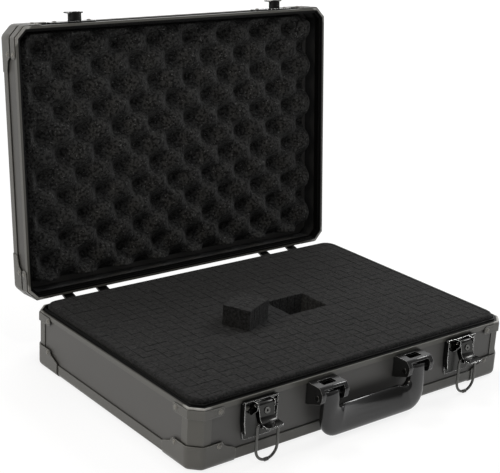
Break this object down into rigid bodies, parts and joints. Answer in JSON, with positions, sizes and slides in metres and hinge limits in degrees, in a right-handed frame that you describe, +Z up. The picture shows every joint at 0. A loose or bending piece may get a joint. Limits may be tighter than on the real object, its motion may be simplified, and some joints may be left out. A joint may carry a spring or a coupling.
{
  "type": "hard carrying case",
  "caption": "Hard carrying case with hinged lid, chamfered corners with riveted caps, toggle latches with wire bails, carry handle and diced foam; lid open.",
  "frame": {"origin": "middle of the base's footprint, in the plane of the four lower corner caps", "axes": "+X along the width to the right, +Y towards the hinges, +Z up from the table"},
  "size_m": [0.4238, 0.3928, 0.367],
  "materials": {
    "panel_board": "smooth grey faced board",
    "edge_strip": "satin grey painted strip",
    "corner_plate": "grey paint on pressed sheet",
    "rivet": "grey paint",
    "lining": "black brushed lining",
    "base_foam": "open-cell charcoal foam",
    "lid_foam": "open-cell black foam",
    "hinge_steel": "dark plated steel",
    "latch_plating": "black nickel plating",
    "bracket_casting": "black satin casting",
    "handle_moulding": "glossy dark moulding"
  },
  "bodies": {
    "base": {"base_back_board": "panel_board", "base_back_edge": "edge_strip", "base_corner_caps": "corner_plate", "base_corner_posts": "edge_strip", "base_diced_foam": "base_foam", "base_floor_board": "panel_board", "base_foam_pad": "base_foam", "base_front_board": "panel_board", "base_front_edge": "edge_strip", "base_hardware_rivets": "rivet", "base_left_board": "panel_board", "base_left_edge": "edge_strip", "base_lining": "lining", "base_plucked_foam_block": "base_foam", "base_right_board": "panel_board", "base_right_edge": "edge_strip", "base_rim": "edge_strip", "base_rim_brackets": "corner_plate", "base_rivets": "rivet", "handle_bracket_left": "bracket_casting", "handle_bracket_right": "bracket_casting", "handle_pin_left": "hinge_steel", "handle_pin_right": "hinge_steel", "hinge_base_leaf_left": "hinge_steel", "hinge_base_leaf_right": "hinge_steel", "hinge_pin_left": "hinge_steel", "hinge_pin_right": "hinge_steel", "latch_pin_left": "hinge_steel", "latch_pin_right": "hinge_steel", "latch_plate_left": "latch_plating", "latch_plate_right": "latch_plating"},
    "lid": {"hinge_lid_leaf_left": "hinge_steel", "hinge_lid_leaf_right": "hinge_steel", "keeper_left": "latch_plating", "keeper_right": "latch_plating", "lid_back_board": "panel_board", "lid_back_edge": "edge_strip", "lid_corner_caps": "corner_plate", "lid_corner_posts": "edge_strip", "lid_crested_foam": "lid_foam", "lid_floor_board": "panel_board", "lid_front_board": "panel_board", "lid_front_edge": "edge_strip", "lid_hardware_rivets": "rivet", "lid_left_board": "panel_board", "lid_left_edge": "edge_strip", "lid_lining": "lining", "lid_right_board": "panel_board", "lid_right_edge": "edge_strip", "lid_rim": "edge_strip", "lid_rim_brackets": "corner_plate", "lid_rivets": "rivet"},
    "lever_left": {"latch_lever_left": "latch_plating"},
    "lever_right": {"latch_lever_right": "latch_plating"},
    "lock_left": {"lock_plug_left": "latch_plating"},
    "lock_right": {"lock_plug_right": "latch_plating"},
    "bail_left": {"latch_bail_left": "latch_plating"},
    "bail_right": {"latch_bail_right": "latch_plating"},
    "handle": {"handle": "handle_moulding"}
  },
  "joints": [
    {"name": "lid_hinge", "type": "hinge", "parent": "base", "child": "lid", "pos_m": [0, 0.15255, 0.059], "axis": [-1, 0, 0], "range_deg": [-95.3, 0], "deforming": ["base_plucked_foam_block"]},
    {"name": "lever_left", "type": "hinge", "parent": "base", "child": "lever_left", "pos_m": [-0.136, -0.15505, 0.0575], "axis": [-1, 0, 0], "range_deg": [-12, 100]},
    {"name": "lock_left", "type": "hinge", "parent": "lever_left", "child": "lock_left", "pos_m": [-0.136, -0.15884, 0.05217], "axis": [0, -0.9781, 0.2079], "range_deg": [0, 90]},
    {"name": "bail_left", "type": "hinge", "parent": "lever_left", "child": "bail_left", "pos_m": [-0.136, -0.16131, 0.04053], "axis": [1, 0, 0], "range_deg": [-201, 8]},
    {"name": "lever_right", "type": "hinge", "parent": "base", "child": "lever_right", "pos_m": [0.136, -0.15505, 0.0575], "axis": [-1, 0, 0], "range_deg": [-12, 100]},
    {"name": "lock_right", "type": "hinge", "parent": "lever_right", "child": "lock_right", "pos_m": [0.136, -0.15884, 0.05217], "axis": [0, -0.9781, 0.2079], "range_deg": [0, 90]},
    {"name": "bail_right", "type": "hinge", "parent": "lever_right", "child": "bail_right", "pos_m": [0.136, -0.16131, 0.04053], "axis": [1, 0, 0], "range_deg": [-201, 8]},
    {"name": "handle_swing", "type": "hinge", "parent": "base", "child": "handle", "pos_m": [0, -0.16105, 0.049], "axis": [-1, 0, 0], "range_deg": [-7, 95]}
  ]
}
